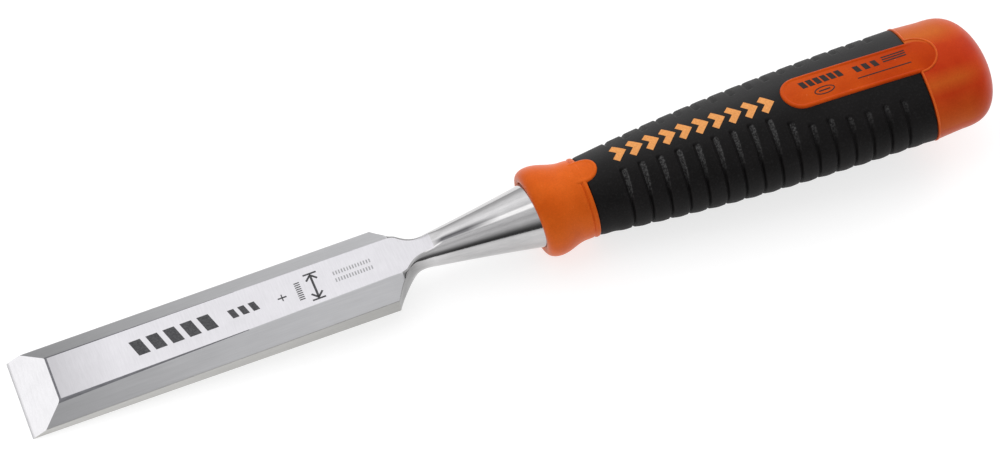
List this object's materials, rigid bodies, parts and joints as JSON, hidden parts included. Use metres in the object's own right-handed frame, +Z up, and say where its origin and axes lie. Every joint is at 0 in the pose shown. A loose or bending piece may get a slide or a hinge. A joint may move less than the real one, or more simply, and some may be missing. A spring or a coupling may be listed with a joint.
{
  "type": "bench chisel",
  "caption": "Bevel-edged bench chisel: flat-backed steel blade with side bevels, waisted neck and conical bolster, and an oval orange and black ribbed handle with a striking cap.",
  "frame": {"origin": "centre of the footprint of the chisel as it lies on a bench, on the bench surface", "axes": "+X from the cutting edge towards the butt of the handle, +Y across the blade, +Z up away from the flat back. The tool's own axis is tipped up by the lay angle, because it rests on its cutting edge and on the collar's lip"},
  "size_m": [0.2672, 0.0348, 0.0307],
  "materials": {
    "blade_steel": "ground lengthwise, with a polished bolster",
    "core_orange": "satin moulded orange plastic",
    "grip_black": "fine matt soft plastic",
    "cap_orange": "satin moulded, redder orange"
  },
  "bodies": {
    "root": {"blade": "blade_steel", "handle_core": "core_orange", "grip_sleeve": "grip_black", "striking_cap": "cap_orange"}
  },
  "joints": []
}
